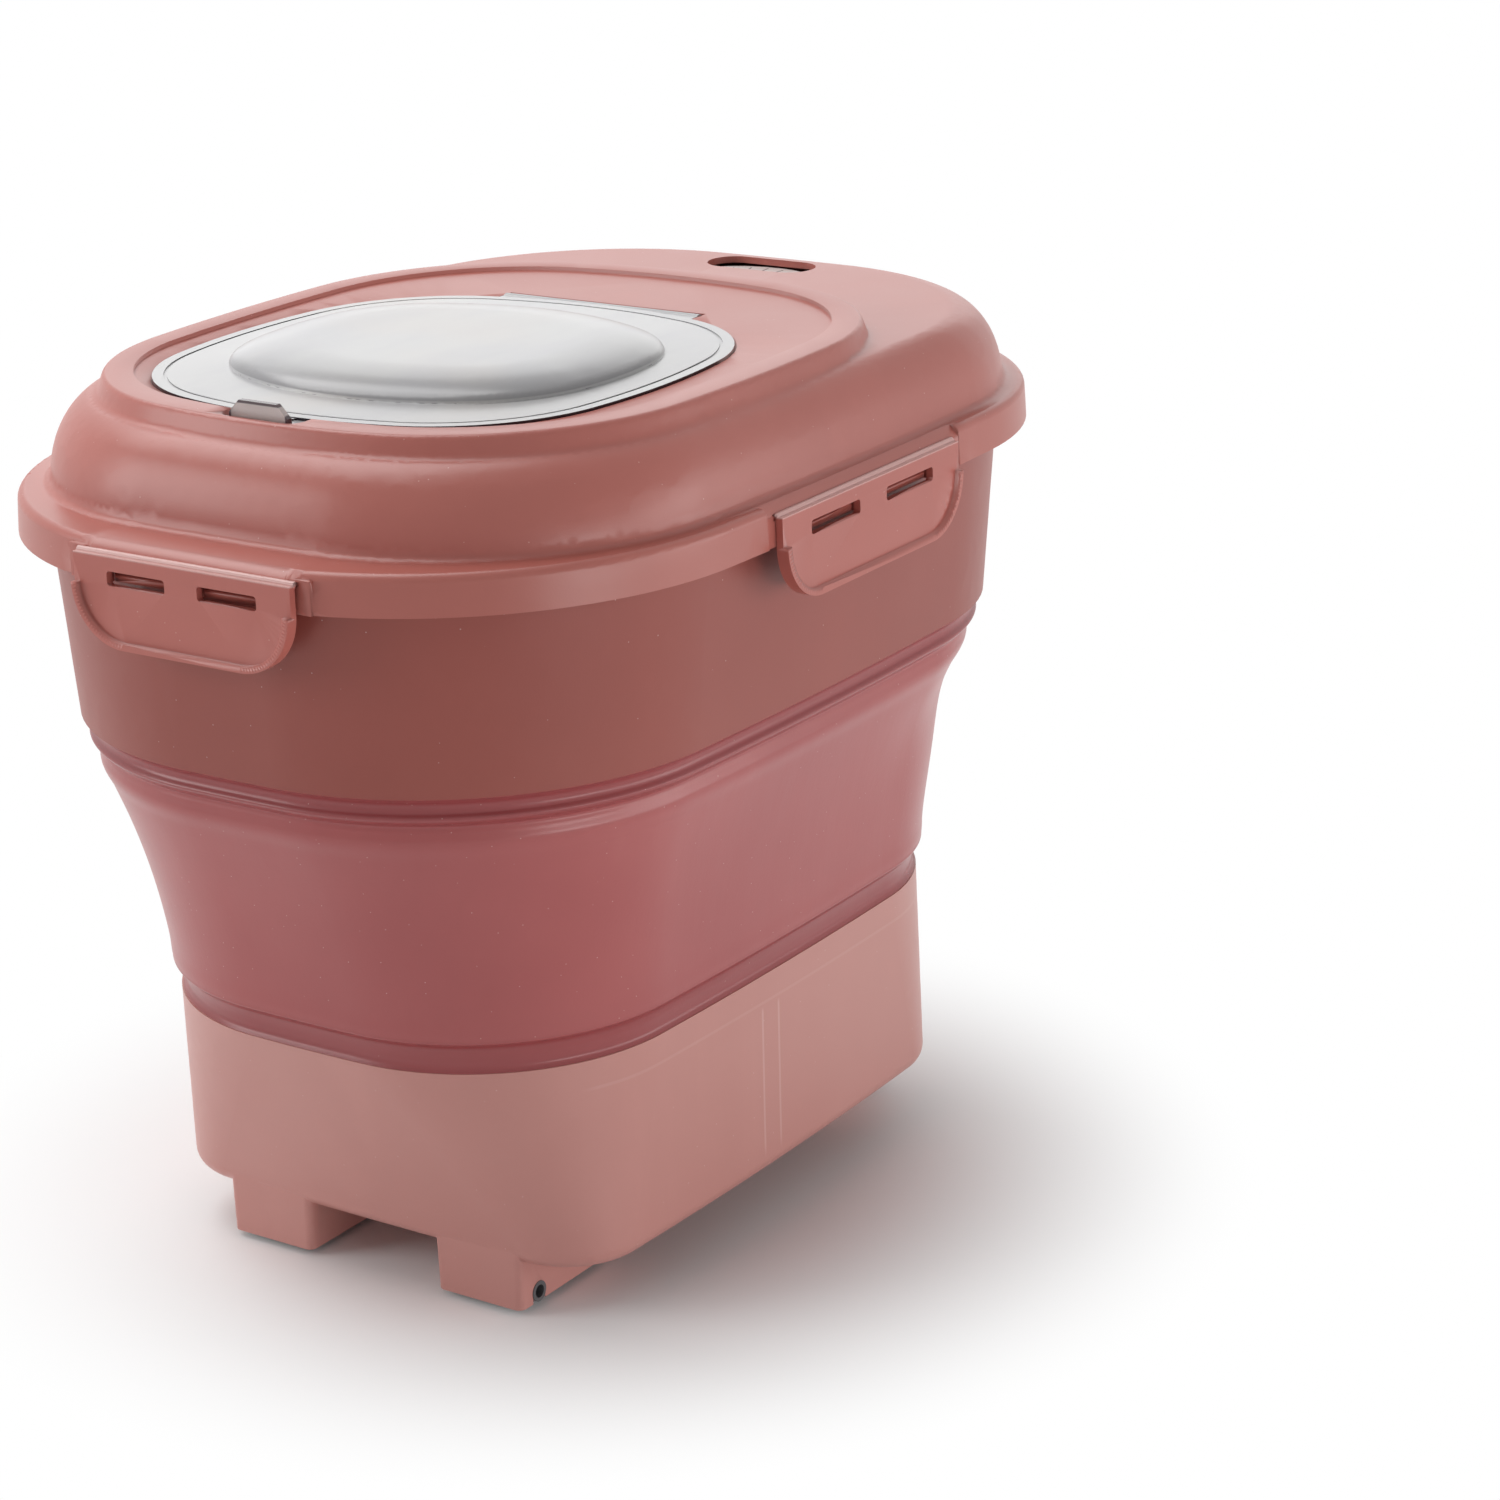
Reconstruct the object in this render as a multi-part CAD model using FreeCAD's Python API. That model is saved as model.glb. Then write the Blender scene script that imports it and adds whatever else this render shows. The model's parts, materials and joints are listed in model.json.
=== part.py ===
import FreeCAD, Part

import math
import os

from FreeCAD import Vector

# Collapsible pet food bin. Millimetres, +Z up. The front, with the pull tab, faces -Y.
# The origin lies on the floor, below the middle of the bin.
# An outline is (half width, half length, corner radius, bow radius of the ends, bow radius of the
# sides): eight tangent arcs, with gently bowed sides and ends between round corners.

# Walls, fits and clearances
WALL = 2.5
SLEEVE_WALL = 2.2
CLEAR = 0.3
RUNNING_FIT = 0.05

# Bow radii of the ends and the sides
BODY_BOWS = (900.0, 2200.0)
TUB_EDGE_BOWS = (2500.0, 2200.0)
PLATFORM_BOWS = (260.0, 700.0)
FLAP_BOWS = (180.0, 230.0)
BUBBLE_BOWS = (104.0, 114.0)

# Lower tub
FOOT_HEIGHT = 17.5
TUB_HEIGHT = 78.0
TUB_ROUNDING = 7.0
TUB_EDGE = (99.0, 122.0, 30.0) + TUB_EDGE_BOWS
TUB_TOP = (99.5, 149.5, 76.0) + BODY_BOWS

# Feet, wheels and axles
FOOT_WIDTH = 37.0
FOOT_DEPTH = 52.0
FOOT_DRAFT = 0.4
FOOT_CORNER = 3.0
FOOT_SPACING_X = 94.0
FOOT_END_Y = 120.4
WHEEL_RADIUS = 6.3
WHEEL_BELOW_FOOT = 2.5
WHEEL_EDGE_RADIUS = 0.9
WHEEL_SIDE_GAP = 1.0
WHEEL_FROM_FOOT_END = 10.5
AXLE_RADIUS = 3.8
AXLE_BORE_RADIUS = 2.4
AXLE_STAND_OUT = 0.4
AXLE_SKIN = 1.2
KEYHOLE_THROAT_SHARE = 0.94

# Folding sleeve: a band of waves at each end, each a share of the sleeve's height, and a panel
# between them that sags in a little. The pairs are a share of the band's height, from the end of
# the sleeve, and the inset from the straight taper.
SLEEVE_HEIGHT = 109.0
SLEEVE_TOP_SHARE = 0.156
SLEEVE_TOP_BAND = ((0.0, 0.6), (0.19, 2.8), (0.42, 0.4), (0.66, 3.2), (0.82, 2.6), (1.0, 1.2))
SLEEVE_LOW_SHARE = 0.11
SLEEVE_LOW_BAND = ((0.0, 0.6), (0.22, 2.2), (0.5, 3.0), (0.79, 2.2), (1.0, 1.0))
SLEEVE_SAG = 3.2

# Upper ring
RING_HEIGHT = 74.0
RING_BOTTOM = (123.5, 182.0, 104.0) + BODY_BOWS
RING_TOP = (130.0, 187.0, 110.0) + BODY_BOWS
RIM_WIDTH = 3.2
RIM_THICKNESS = 2.5

# Lid: flange band, shoulder, dome, flat deck and raised platform
FLANGE = (139.5, 195.5, 115.0) + BODY_BOWS
FLANGE_HEIGHT = 14.0
FLANGE_DRAFT = 0.7
FLANGE_EDGE_RADIUS = 3.0
FLANGE_WALL = 2.7
GASKET_HEIGHT = 3.5
GASKET_WIDTH = 3.2
DOME_BASE = (130.5, 177.0, 94.0) + BODY_BOWS
DOME_BASE_Y = 2.0
DOME_DECK = (116.0, 159.0, 90.0) + BODY_BOWS
DOME_DECK_Y = 1.5
DECK_RISE = 29.0
DOME_FOOT_FLARE = ((0.0, 3.2), (0.9, 1.3), (3.2, -1.0))
PLATFORM = (116.0, 129.5, 86.0) + PLATFORM_BOWS
PLATFORM_Y = -28.0
PLATFORM_RISE = 36.0
PLATFORM_SKIRT = ((0.0, -1.6), (0.7, -0.4), (2.2, 0.4), (6.5, 2.1), (11.5, 5.5))
PANEL_DEPTH = 1.5
PANEL_MARGIN = 11.0

# Flap, its seat, seal, tab and hinge
FLAP = (92.7, 92.0, 61.5) + FLAP_BOWS
FLAP_Y = -52.5
FLAP_THICKNESS = 3.0
FLAP_PROUD = 0.8
FLAP_GROOVE_INSET = 4.0
FLAP_GROOVE_WIDTH = 1.2
FLAP_GROOVE_DEPTH = 0.4
FLAP_GAP = 0.8
SEAT_WIDTH = 8.5
SEAL_THICKNESS = 1.2
SEAL_WIDTH = 4.0
SEAL_INSET = 2.5
BUBBLE = (75.0, 66.5, 50.0) + BUBBLE_BOWS
BUBBLE_Y = -51.5
BUBBLE_HEIGHT = 7.2
BUBBLE_EDGE_RUN = 28.0
BUBBLE_WALL = 1.8
TAB_WIDTH = 25.0
TAB_LENGTH = 8.5
TAB_THICKNESS = 2.0
TAB_LIP_THICKNESS = 2.2
TAB_LIP_HEIGHT = 9.0
TAB_LIP_CHAMFER = 4.5
TAB_RIB_HEIGHT = 0.6
TAB_RIB_PITCH = 2.0
POCKET_MARGIN = 4.5
POCKET_END_GAP = 1.6
POCKET_CORNER = 5.0
HINGE_WIDTH = 86.0
HINGE_Y = 42.0
HINGE_BELOW_PANEL = 2.0
BARREL_RADIUS = 2.6
PIN_RADIUS = 1.2
PIN_LENGTH = 96.0
HINGE_GAP = 1.2
HINGE_END_GAP = 0.4
MAGNET_RADIUS = 4.0
MAGNET_THICKNESS = 1.5
MAGNET_GAP = 0.9

# Date dial
DIAL_RADIUS = 37.5
DIAL_THICKNESS = 2.0
DIAL_Y = 121.5
DIAL_BELOW_DECK = 3.3
DIAL_BOSS_RADIUS = 4.0
DIAL_STEP_RADIUS = 6.5
DIAL_RIB_COUNT = 36
DIAL_RIB_HEIGHT = 0.6
DIAL_RIB_LENGTH = 5.0
DIAL_RIB_WIDTH = 1.2
WINDOW_LENGTH = 46.0
WINDOW_WIDTH = 19.5
WINDOW_Y = 149.0
SCREW_HEAD_RADIUS = 7.0
SCREW_HEAD_THICKNESS = 1.8
SCREW_RADIUS = 1.5
SCREW_LENGTH = 5.0
SCREW_SLOT_LENGTH = 6.0

# Clasps and the lugs behind their slots
END_CLASP_WIDTH = 92.0
SIDE_CLASP_WIDTH = 114.0
CLASP_DROP = 31.0
CLASP_THICKNESS = 2.6
CLASP_CORNER = 21.0
CLASP_LIP = 2.0
CLASP_LIP_WIDTH = 2.4
CLASP_BEAD_RADIUS = 1.2
CLASP_BELOW_SHOULDER = 4.0
SLOT_HEIGHT = 5.0
SLOT_CORNER = 1.2
SLOT_DROP = 7.5
SLOT_OFFSET_SHARE = 0.21
SLOT_LENGTH_SHARE = 0.27
LUG_THICKNESS = 3.2
LUG_CLEARANCE = 0.6
CLASP_POCKET_DEPTH = 1.6
CLASP_POCKET_MARGIN = 5.0

# Heights and planes that follow from the sizes above
FOOT_BOTTOM_Z = WHEEL_BELOW_FOOT
TUB_BOTTOM_Z = FOOT_BOTTOM_Z + FOOT_HEIGHT
TUB_EDGE_Z = TUB_BOTTOM_Z + TUB_ROUNDING
TUB_TOP_Z = TUB_BOTTOM_Z + TUB_HEIGHT
RING_BOTTOM_Z = TUB_TOP_Z + SLEEVE_HEIGHT
RING_TOP_Z = RING_BOTTOM_Z + RING_HEIGHT
SHOULDER_UNDERSIDE_Z = RING_TOP_Z + GASKET_HEIGHT
SHOULDER_Z = SHOULDER_UNDERSIDE_Z + WALL
FLANGE_BOTTOM_Z = SHOULDER_Z - FLANGE_HEIGHT
DECK_Z = SHOULDER_Z + DECK_RISE
PLATFORM_Z = SHOULDER_Z + PLATFORM_RISE
PANEL_Z = PLATFORM_Z - PANEL_DEPTH
FLAP_TOP_Z = PANEL_Z + FLAP_PROUD
FLAP_BOTTOM_Z = FLAP_TOP_Z - FLAP_THICKNESS
SEAT_Z = FLAP_BOTTOM_Z - SEAL_THICKNESS
TRAY_BOTTOM_Z = SEAT_Z - WALL
FLAP_FRONT_Y = FLAP_Y - FLAP[1]
TAB_END_Y = FLAP_FRONT_Y - TAB_LENGTH
MAGNET_Y = FLAP_FRONT_Y - TAB_LENGTH / 2
POCKET_Z = FLAP_BOTTOM_Z - MAGNET_THICKNESS - MAGNET_GAP
HINGE_Z = PANEL_Z - HINGE_BELOW_PANEL
DIAL_TOP_Z = DECK_Z - DIAL_BELOW_DECK
DIAL_BOTTOM_Z = DIAL_TOP_Z - DIAL_THICKNESS
BOSS_BOTTOM_Z = DIAL_BOTTOM_Z - 0.1
CLASP_HINGE_Z = SHOULDER_Z - CLASP_BELOW_SHOULDER
SLOT_Z = CLASP_HINGE_Z - SLOT_DROP


def grow(size, by):
    """The parallel outline a distance further out."""
    return tuple(value + by for value in size)


def blend(size_a, size_b, share):
    """An outline between two others."""
    return tuple(a + (b - a) * share for a, b in zip(size_a, size_b))


def outline(size, z, centre_y=0.0):
    """Closed wire of eight tangent arcs at one height."""
    half_x, half_y, radius, end_bow, side_bow = size
    end_centre = half_y - end_bow
    side_centre = half_x - side_bow
    end_reach = end_bow - radius
    side_reach = side_bow - radius
    span = math.hypot(side_centre, end_centre)
    along = (end_reach ** 2 - side_reach ** 2 + span ** 2) / (2 * span)
    across = math.sqrt(end_reach ** 2 - along ** 2)
    corner_x = (along * side_centre - across * end_centre) / span
    corner_y = end_centre - (along * end_centre + across * side_centre) / span
    end_x = corner_x * end_bow / end_reach
    end_y = end_centre + (corner_y - end_centre) * end_bow / end_reach
    side_x = side_centre + (corner_x - side_centre) * side_bow / side_reach
    side_y = corner_y * side_bow / side_reach
    middle_angle = (math.atan2(end_y - corner_y, end_x - corner_x)
                    + math.atan2(side_y - corner_y, side_x - corner_x)) / 2
    middle_x = corner_x + radius * math.cos(middle_angle)
    middle_y = corner_y + radius * math.sin(middle_angle)
    route = [(side_x, -side_y), (half_x, 0), (side_x, side_y), (middle_x, middle_y),
             (end_x, end_y), (0, half_y), (-end_x, end_y), (-middle_x, middle_y),
             (-side_x, side_y), (-half_x, 0), (-side_x, -side_y), (-middle_x, -middle_y),
             (-end_x, -end_y), (0, -half_y), (end_x, -end_y), (middle_x, -middle_y)]
    points = [Vector(x, y + centre_y, z) for x, y in route]
    points.append(points[0])
    arcs = [Part.Arc(points[i], points[i + 1], points[i + 2]).toShape() for i in range(0, 16, 2)]
    return Part.Wire(arcs)


def loft(wires, ruled=False):
    return Part.makeLoft(wires, True, ruled)


def prism(size, low_z, high_z, centre_y=0.0):
    """Straight block of one outline between two heights."""
    face = Part.Face(outline(size, low_z, centre_y))
    return face.extrude(Vector(0, 0, high_z - low_z))


def box(low, high):
    """Box between two opposite corners."""
    size = [b - a for a, b in zip(low, high)]
    return Part.makeBox(size[0], size[1], size[2], Vector(*low))


def edges_along(solid, axis):
    """Straight edges parallel to one of the axes 0, 1 or 2."""
    return [e for e in solid.Edges if abs(e.tangentAt(e.FirstParameter)[axis]) > 0.99]


def rounded_box(low, high, radius, axis=2):
    """Box with its edges along one axis rounded."""
    solid = box(low, high)
    return solid.makeFillet(radius, edges_along(solid, axis))


def rod(radius, start, direction, length):
    return Part.makeCylinder(radius, length, Vector(*start), Vector(*direction))


def upright_rod(radius, centre_y, low_z, high_z):
    """Upright cylinder in the middle plane of the bin."""
    return rod(radius, (0, centre_y, low_z), (0, 0, 1), high_z - low_z)


def polygon_block(points, direction):
    """Flat polygon extruded along a direction."""
    corners = [Vector(*point) for point in points]
    corners.append(corners[0])
    return Part.Face(Part.makePolygon(corners)).extrude(Vector(*direction))


def export(name, solid):
    solid = solid.removeSplitter()
    if len(solid.Solids) == 1:
        solid = solid.Solids[0]
    print(name, "valid", solid.isValid(), "solids", len(solid.Solids), "volume", round(solid.Volume))
    solid.exportStep("parts/" + name + ".step")


# Lower tub with its four feet

def tub_block(offset):
    """Outer block of the tub, or its hollow when the offset is negative."""
    wires = []
    steps = 6
    for i in range(steps + 1):
        angle = math.radians(90 - 90 * i / steps)
        inset = TUB_ROUNDING * (1 - math.cos(angle))
        z = TUB_EDGE_Z - (TUB_ROUNDING + offset) * math.sin(angle)
        wires.append(outline(grow(TUB_EDGE, offset - inset), z))
    rim = outline(grow(TUB_TOP, offset), TUB_TOP_Z)
    return loft(wires).fuse(loft([wires[-1], rim], True))


def foot_places():
    """Name and the two signs of each foot."""
    for end_name, end in (("front", -1), ("rear", 1)):
        for side_name, side in (("left", -1), ("right", 1)):
            yield end_name + "_" + side_name, side, end


def foot_block(side, end, offset=0.0):
    """Slightly tapering foot, or its hollow when the offset is negative."""
    x = side * FOOT_SPACING_X / 2
    y = end * (FOOT_END_Y - FOOT_DEPTH / 2)
    wires = []
    for z, wider in ((FOOT_BOTTOM_Z, 0.0), (TUB_EDGE_Z, FOOT_DRAFT)):
        half_x = FOOT_WIDTH / 2 + wider + offset
        half_y = FOOT_DEPTH / 2 + wider + offset
        block = rounded_box((x - half_x, y - half_y, z), (x + half_x, y + half_y, z + 1),
                            FOOT_CORNER + offset)
        wires += [face.OuterWire for face in block.Faces if abs(face.CenterOfMass.z - z) < 0.01]
    return loft(wires, True)


def wheel_centre(side, end):
    return (side * FOOT_SPACING_X / 2, end * (FOOT_END_Y - WHEEL_FROM_FOOT_END), WHEEL_RADIUS)


def axle_ends(side):
    """Ends of an axle along X, first the one that stops inside the inner wall of the foot."""
    middle = FOOT_SPACING_X / 2
    return side * (middle - FOOT_WIDTH / 2 + AXLE_SKIN), side * (middle + FOOT_WIDTH / 2 + AXLE_STAND_OUT)


def keyhole(side, end):
    """Round seat for the axle with a narrower throat down to the edge of the foot."""
    x, y, z = wheel_centre(side, end)
    inner, outer = axle_ends(side)
    outer += side * FOOT_DRAFT
    throat = AXLE_RADIUS * KEYHOLE_THROAT_SHARE
    seat = rod(AXLE_RADIUS, (inner, y, z), (side, 0, 0), abs(outer - inner))
    slot = box((min(inner, outer), y - throat, FOOT_BOTTOM_Z - 1), (max(inner, outer), y + throat, z))
    return seat.fuse(slot)


def lower_tub():
    block = tub_block(0)
    tub = block.multiFuse([foot_block(side, end) for name, side, end in foot_places()])
    cuts = [tub_block(-WALL)]
    cuts += [foot_block(side, end, -WALL).cut(block) for name, side, end in foot_places()]
    cuts += [keyhole(side, end) for name, side, end in foot_places()]
    for cutter in cuts:
        tub = tub.cut(cutter)
    return tub


def axle(side, end):
    """Hollow axle that snaps into the keyholes of both foot walls and shows only outside."""
    x, y, z = wheel_centre(side, end)
    inner, outer = axle_ends(side)
    tube = rod(AXLE_RADIUS, (inner, y, z), (side, 0, 0), abs(outer - inner))
    return tube.cut(rod(AXLE_BORE_RADIUS, (inner, y, z), (side, 0, 0), abs(outer - inner)))


def wheel(side, end):
    """Roller with rounded edges that turns on the axle."""
    x, y, z = wheel_centre(side, end)
    width = FOOT_WIDTH - 2 * WALL - 2 * WHEEL_SIDE_GAP
    start = (x - width / 2, y, z)
    roller = rod(WHEEL_RADIUS, start, (1, 0, 0), width)
    roller = roller.makeFillet(WHEEL_EDGE_RADIUS, [e for e in roller.Edges if e.Closed])
    return roller.cut(rod(AXLE_RADIUS + RUNNING_FIT, start, (1, 0, 0), width))


# Folding sleeve

def sleeve_block(offset):
    """Sagging taper between a band with a waist at the bottom and one with a ridge at the top."""
    low_height = SLEEVE_LOW_SHARE * SLEEVE_HEIGHT
    top_height = SLEEVE_TOP_SHARE * SLEEVE_HEIGHT
    low_band = [(low_height * share, inset) for share, inset in SLEEVE_LOW_BAND]
    top_band = [(SLEEVE_HEIGHT - top_height * share, inset) for share, inset in reversed(SLEEVE_TOP_BAND)]
    panel = []
    for i in range(7):
        rise, inset = blend(low_band[-1], top_band[0], i / 6)
        panel.append((rise, inset + SLEEVE_SAG * math.sin(math.pi * i / 6)))
    blocks = []
    for stations, ruled in ((low_band, False), (panel, False), (top_band, False)):
        wires = []
        for rise, inset in stations:
            size = blend(TUB_TOP, RING_BOTTOM, rise / SLEEVE_HEIGHT)
            wires.append(outline(grow(size, offset - inset), TUB_TOP_Z + rise))
        blocks.append(loft(wires, ruled))
    return blocks[0].multiFuse(blocks[1:])


def folding_sleeve():
    return sleeve_block(0).cut(sleeve_block(-SLEEVE_WALL))


# Clasps, and the upper ring with its rim and lugs

def clasp_places():
    """Name, width, turn about Z and flange reach of each clasp."""
    yield "front", END_CLASP_WIDTH, 0, FLANGE[1]
    yield "right", SIDE_CLASP_WIDTH, 90, FLANGE[0]
    yield "rear", END_CLASP_WIDTH, 180, FLANGE[1]
    yield "left", SIDE_CLASP_WIDTH, 270, FLANGE[0]


def turned(solid, angle):
    """Copy turned about the upright axis through the origin."""
    copy = solid.copy()
    copy.rotate(Vector(0, 0, 0), Vector(0, 0, 1), angle)
    return copy


def slot_spans(width):
    """Start and end of the two slots across a clasp."""
    half = SLOT_LENGTH_SHARE * width / 2
    for side in (-1, 1):
        centre = side * SLOT_OFFSET_SHARE * width
        yield centre - half, centre + half


def clasp_outline(width, inset):
    """Front view of a clasp in the XZ plane, with large lower corners, one unit thick."""
    half = width / 2 - inset
    low = CLASP_HINGE_Z - CLASP_DROP + inset
    plate = box((-half, 0, low), (half, 1, CLASP_HINGE_Z))
    lower = [e for e in edges_along(plate, 1) if e.Vertexes[0].Z < low + 0.1]
    return plate.makeFillet(CLASP_CORNER - inset, lower)


def clasp(width, angle, reach):
    """Flat clasp that hangs from its hinge bead, with two slots and a raised lower edge."""
    inner = -(reach - CLASP_POCKET_DEPTH + CLEAR)
    flat = clasp_outline(width, 0)
    sheet = [face for face in flat.Faces if abs(face.CenterOfMass.y) < 0.001][0]
    hole = clasp_outline(width, CLASP_LIP_WIDTH)
    core = [face for face in hole.Faces if abs(face.CenterOfMass.y) < 0.001][0]
    plate = sheet.extrude(Vector(0, -CLASP_THICKNESS, 0))
    lip = sheet.extrude(Vector(0, -CLASP_THICKNESS - CLASP_LIP, 0))
    lip = lip.cut(core.extrude(Vector(0, -CLASP_THICKNESS - CLASP_LIP, 0)))
    lip_top = CLASP_HINGE_Z - CLASP_DROP + CLASP_CORNER
    lip = lip.common(box((-width, -20, 0), (width, 20, lip_top)))
    plate = plate.fuse(lip)
    plate.translate(Vector(0, inner, 0))
    bead = rod(CLASP_BEAD_RADIUS, (-width / 2, inner + CLEAR, CLASP_HINGE_Z), (1, 0, 0), width)
    plate = plate.fuse(bead)
    for start, end in slot_spans(width):
        slot = rounded_box((start, inner - 10, SLOT_Z - SLOT_HEIGHT / 2),
                           (end, inner + CLEAR, SLOT_Z + SLOT_HEIGHT / 2), SLOT_CORNER, 1)
        plate = plate.cut(slot)
    return turned(plate, angle)


def lugs():
    """Flat lugs that point through the slots and stop just behind the clasps."""
    solids = []
    for name, width, angle, reach in clasp_places():
        wall = RING_TOP[1] if angle in (0, 180) else RING_TOP[0]
        for start, end in slot_spans(width):
            lug = box((start + 1, -(reach - CLASP_POCKET_DEPTH), SLOT_Z - LUG_THICKNESS / 2),
                      (end - 1, -(wall - 1.6 * WALL), SLOT_Z + LUG_THICKNESS / 2))
            solids.append(turned(lug, angle))
    return solids


def ring_block(offset):
    wires = [outline(grow(RING_BOTTOM, offset), RING_BOTTOM_Z),
             outline(grow(RING_TOP, offset), RING_TOP_Z)]
    return loft(wires, True)


def upper_ring():
    rim = prism(grow(RING_TOP, RIM_WIDTH), RING_TOP_Z - RIM_THICKNESS, RING_TOP_Z)
    ring = ring_block(0).multiFuse([rim] + lugs())
    return ring.cut(ring_block(-WALL))


# Lid

def dome_block(offset):
    """Bulging wall from the shoulder up to the flat deck."""
    wires = [outline(grow(DOME_BASE, offset), SHOULDER_UNDERSIDE_Z, DOME_BASE_Y)]
    steps = 7
    for i in range(steps + 1):
        angle = math.radians(6 + 84 * i / steps)
        share = 1 - math.cos(angle)
        size = grow(blend(DOME_BASE, DOME_DECK, share), offset)
        centre_y = DOME_BASE_Y + (DOME_DECK_Y - DOME_BASE_Y) * share
        z = SHOULDER_Z + (DECK_RISE + offset) * math.sin(angle)
        wires.append(outline(size, z, centre_y))
    return loft(wires)


def dome_flare():
    """Concave foot between the shoulder and the dome."""
    wires = [outline(grow(DOME_BASE, wider), SHOULDER_Z + rise, DOME_BASE_Y)
             for rise, wider in DOME_FOOT_FLARE]
    return loft(wires)


def platform_block():
    wires = [outline(grow(PLATFORM, wider), PLATFORM_Z - drop, PLATFORM_Y)
             for drop, wider in reversed(PLATFORM_SKIRT)]
    return loft(wires)


def flange_block():
    flange = loft([outline(FLANGE, FLANGE_BOTTOM_Z), outline(grow(FLANGE, -FLANGE_DRAFT), SHOULDER_Z)], True)
    top = [face for face in flange.Faces if abs(face.CenterOfMass.z - SHOULDER_Z) < 0.01][0]
    return flange.makeFillet(FLANGE_EDGE_RADIUS, top.Edges)


def clasp_pads():
    """Thicker places of the flange behind the clasps."""
    solids = []
    for name, width, angle, reach in clasp_places():
        half = width / 2 + CLASP_POCKET_MARGIN
        outer = reach - CLASP_POCKET_DEPTH - 1
        inner = reach - CLASP_POCKET_DEPTH - WALL
        pad = box((-half, -outer, FLANGE_BOTTOM_Z), (half, -inner, SHOULDER_UNDERSIDE_Z))
        solids.append(turned(pad, angle))
    return solids


def clasp_pockets():
    """Shallow pockets in the flange with a chamfer above and a round seat for the hinge bead."""
    solids = []
    for name, width, angle, reach in clasp_places():
        half = width / 2 + CLASP_POCKET_MARGIN
        face = -(reach - CLASP_POCKET_DEPTH)
        top = SHOULDER_Z + 1
        low = CLASP_HINGE_Z + CLEAR
        pocket = box((-half, face - 10, FLANGE_BOTTOM_Z - 1), (half, face, top))
        corners = [(-half, face, low), (-half, face + top - low, top), (-half, face, top)]
        chamfer = polygon_block(corners, (2 * half, 0, 0))
        seat = rod(CLASP_BEAD_RADIUS + RUNNING_FIT, (-width / 2 - 1, face, CLASP_HINGE_Z),
                   (1, 0, 0), width + 2)
        solids += [turned(cutter, angle) for cutter in (pocket, chamfer, seat)]
    return solids


def lug_notches():
    """Notches in the lower edge of the flange, through which the lugs reach the clasps."""
    solids = []
    for name, width, angle, reach in clasp_places():
        for start, end in slot_spans(width):
            notch = box((start - 1.5, -(reach + 1), FLANGE_BOTTOM_Z - 1),
                        (end + 1.5, -(reach - CLASP_POCKET_DEPTH - WALL - 1),
                         SLOT_Z + LUG_THICKNESS / 2 + LUG_CLEARANCE))
            solids.append(turned(notch, angle))
    return solids


def tab_pocket(offset, low_z, high_z):
    """Rounded pocket under the pull tab, or the block around it."""
    half = TAB_WIDTH / 2 + POCKET_MARGIN + offset
    return rounded_box((-half, TAB_END_Y - POCKET_END_GAP - offset, low_z),
                       (half, FLAP_FRONT_Y + 2 + offset, high_z), POCKET_CORNER + offset)


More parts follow.
